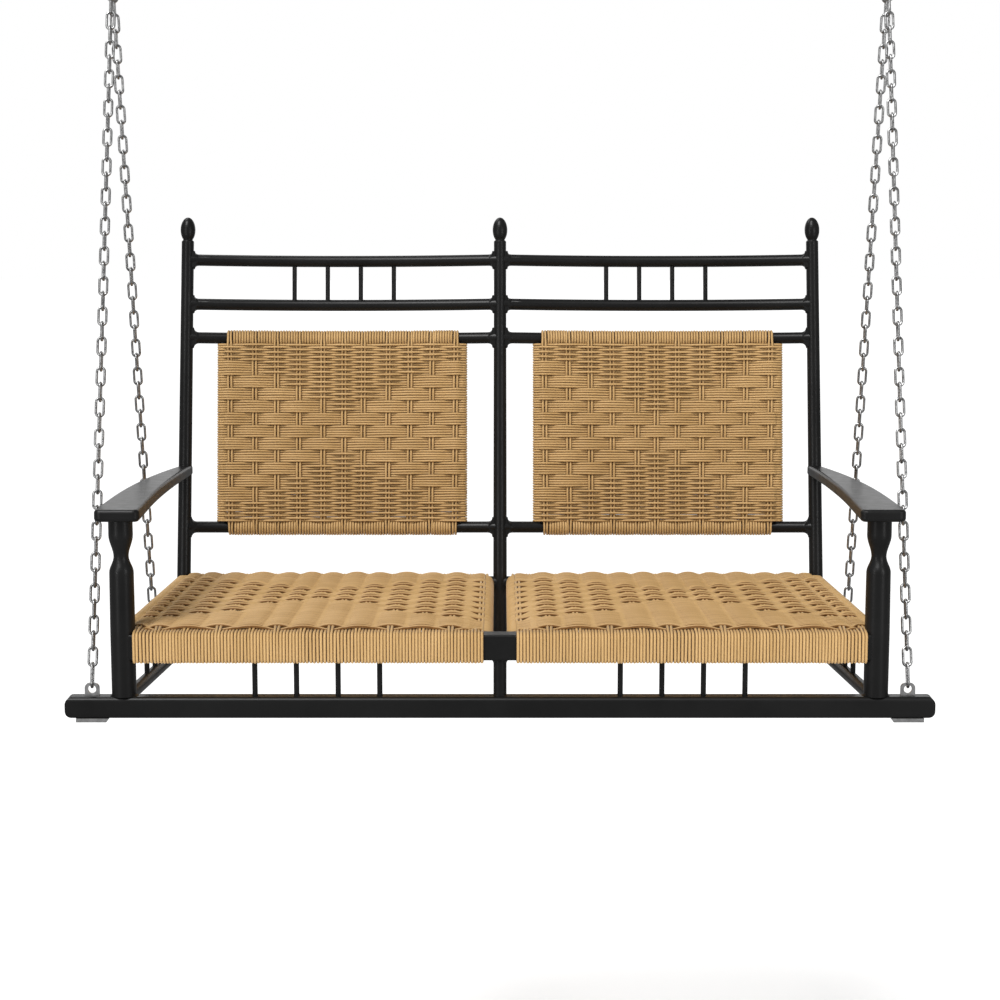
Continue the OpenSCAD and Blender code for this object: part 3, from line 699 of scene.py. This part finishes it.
def seat_warp(x, shift_x, pair):
    """One strand of a warp pair of a seat, round the front rail and the rear rail."""
    rows = np.arange(SEAT_ROWS)
    y = SEAT_FIRST_ROW + SEAT_PITCH * rows
    xs = rear_scale(x, y)
    shift = SHIFTS_SEAT[pair] * SEAT_WARP_SHIFT
    top = seat_top(xs, y) + shift
    if pair == INMOST:
        cells = np.array([seat_cell(row, pair) for row in rows])
        top = inner_rail(y)[1] + RAIL_R + SEAT_ROPE + 0.9 - cells * 1.2
    low = seat_bottom(xs, y) - shift
    y0, y1, z0, z1 = corner_middles(SEAT_ROPE)
    under = [y1 + FRONT_CORNER_R - 4, z0 - FRONT_CORNER_R]
    below = y > BEHIND_FRONT_RAIL
    a = np.radians(np.linspace(90, -90, 9))
    radius = REAR_RAIL_R + SEAT_ROPE
    rear = np.stack([REAR_RAIL_Y + radius * np.cos(a), SIDE_RAIL_Z[1] + radius * np.sin(a)], 1)
    loop = np.concatenate([[under], round_corner(y0, z0, 270, 180, 6),
                           round_corner(y0, z1, 180, 90, 6), np.stack([y, top], 1), rear,
                           np.stack([y[below], low[below]], 1)[::-1]])
    on_rail = (loop[:, 0] < 4) | (loop[:, 0] > REAR_RAIL_Y - 4)
    across = rear_scale(x, np.clip(loop[:, 0], 0, None))
    across += shift_x * np.where(on_rail, RAIL_SQUEEZE, 1)
    return np.stack([across, loop[:, 0], loop[:, 1]], axis=1)


def woven_seat(word, side):
    """The rope of one seat."""
    def place(points):
        return to_row(mirrored(points, side))

    wefts = [(place(seat_weft(r)), SEAT_ROPE) for r in range(SEAT_ROWS)]
    half = SEAT_ROWS // 2
    for part, some in (("front", wefts[:half]), ("rear", wefts[half:])):
        piece = tube_mesh(f"{word}_seat_wefts_{part}", some, (0, 1, 0))
        finish_rope(piece, f"{word}_woven_seat")
    strands = []
    for k, x in enumerate(SEAT_PAIRS):
        for shift in (-PAIR_HALF, PAIR_HALF):
            strands.append((place(seat_warp(x, shift, k)), SEAT_ROPE))
    finish_rope(tube_mesh(f"{word}_seat_warps", strands, (1, 0, 0)), f"{word}_woven_seat")
    taken = [x + shift * RAIL_SQUEEZE for x in SEAT_PAIRS for shift in (-PAIR_HALF, PAIR_HALF)]
    low, high = SEAT_FRONT_WRAP
    front, rear = [], []
    for x in wrap_places(low, high, SEAT_WRAP_PITCH, [t for t in taken if 22 < t < high]):
        loop = front_turn(FRONT_TURN_ROPE + random.uniform(-0.1, 0.15))
        lean = random.uniform(-0.2, 0.2)
        across = x + lean * (loop[:, 1] - TURN_PIVOT_Z) / 20
        front.append((place(np.column_stack([across, loop])), FRONT_TURN_ROPE))
    taken_rear = [rear_scale(t, REAR_RAIL_Y) for t in taken if 22 < t < 560]
    for x in wrap_places(*SEAT_REAR_WRAP, SEAT_WRAP_PITCH, taken_rear):
        a = np.linspace(0, 2 * np.pi, 20, endpoint=False)
        radius = REAR_RAIL_R + REAR_TURN_ROPE
        loop = np.stack([np.full(20, x), REAR_RAIL_Y + radius * np.cos(a),
                         SIDE_RAIL_Z[1] + radius * np.sin(a)], 1)
        rear.append((place(loop), REAR_TURN_ROPE))
    finish_rope(tube_mesh(f"{word}_seat_front_turns", front, (1, 0, 0)), f"{word}_woven_seat")
    finish_rope(tube_mesh(f"{word}_seat_rear_turns", rear, (1, 0, 0)), f"{word}_woven_seat")


# ---------- stage ----------

FLOOR_BELOW = 0.85       # metres under the bottom rail


def add_stage():
    floor_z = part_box("front_bottom_rail")[0].z - FLOOR_BELOW
    bpy.ops.mesh.primitive_plane_add(size=60, location=(0, 10, floor_z))
    floor = bpy.context.object
    floor.name = "floor"
    mat, _, _, shader = new_material("pale_floor")
    shader.inputs["Base Color"].default_value = (0.9, 0.9, 0.9, 1)
    shader.inputs["Roughness"].default_value = 0.9
    shader.inputs["Emission Color"].default_value = (1, 1, 1, 1)
    shader.inputs["Emission Strength"].default_value = 0.42
    floor.data.materials.append(mat)
    floor.visible_glossy = False
    world = bpy.data.worlds.new("studio")
    world.use_nodes = True
    nodes, links = world.node_tree.nodes, world.node_tree.links
    # White to the camera, and a weaker fill on the object
    seen = nodes.new("ShaderNodeLightPath").outputs["Is Camera Ray"]
    links.new(spread(nodes, links, seen, 0.25, 1.0), nodes["Background"].inputs["Strength"])
    nodes["Background"].inputs["Color"].default_value = (1, 1, 1, 1)
    bpy.context.scene.world = world
    bpy.context.scene.view_settings.view_transform = "Standard"


def add_light(name, place, target, size, power):
    light = bpy.data.lights.new(name, "AREA")
    light.shape = "RECTANGLE"
    light.size, light.size_y = size
    light.energy = power
    obj = bpy.data.objects.new(name, light)
    bpy.context.scene.collection.objects.link(obj)
    obj.location = place
    obj.rotation_euler = (Vector(target) - Vector(place)).to_track_quat("-Z", "Y").to_euler()
    obj.visible_camera = False


def add_sun(name, come_from, strength, spread):
    light = bpy.data.lights.new(name, "SUN")
    light.energy = strength
    light.angle = math.radians(spread)
    obj = bpy.data.objects.new(name, light)
    bpy.context.scene.collection.objects.link(obj)
    obj.rotation_euler = Vector(come_from).to_track_quat("Z", "Y").to_euler()


def add_lights():
    heart = DATUM + Vector((0, 0.25, 0.3))
    add_sun("key", (-0.4, -0.75, 1.15), 2.3, 26)
    add_light("rim", heart + Vector((-1.2, 1.2, 2.4)), heart, (1.6, 1.0), 18)
    add_light("back_panel", heart + Vector((0, 3.0, 0.9)), heart, (4.0, 1.5), 18)
    for word, x in (("left", -2.1), ("right", 2.1)):
        add_light(f"{word}_strip", heart + Vector((x, -2.4, 0.5)), heart, (0.5, 2.0), 17)


CAMERA_BACK, CAMERA_UP = 3.3648, 0.7633      # metres from the datum
CAMERA_TILT = 0.1358                         # radians below level
CAMERA_LENS, CAMERA_SENSOR = 80.35, 36       # mm


def add_camera():
    cam = bpy.data.cameras.new("camera")
    cam.lens = CAMERA_LENS
    cam.sensor_width = CAMERA_SENSOR
    obj = bpy.data.objects.new("camera", cam)
    bpy.context.scene.collection.objects.link(obj)
    obj.location = DATUM + Vector((0, -CAMERA_BACK, CAMERA_UP))
    obj.rotation_euler = (math.pi / 2 - CAMERA_TILT, 0, 0)
    bpy.context.scene.camera = obj


paint_frame()
for word, side in (("left", -1), ("right", 1)):
    woven_back(word, side)
    woven_seat(word, side)
add_stage()
add_lights()
add_camera()
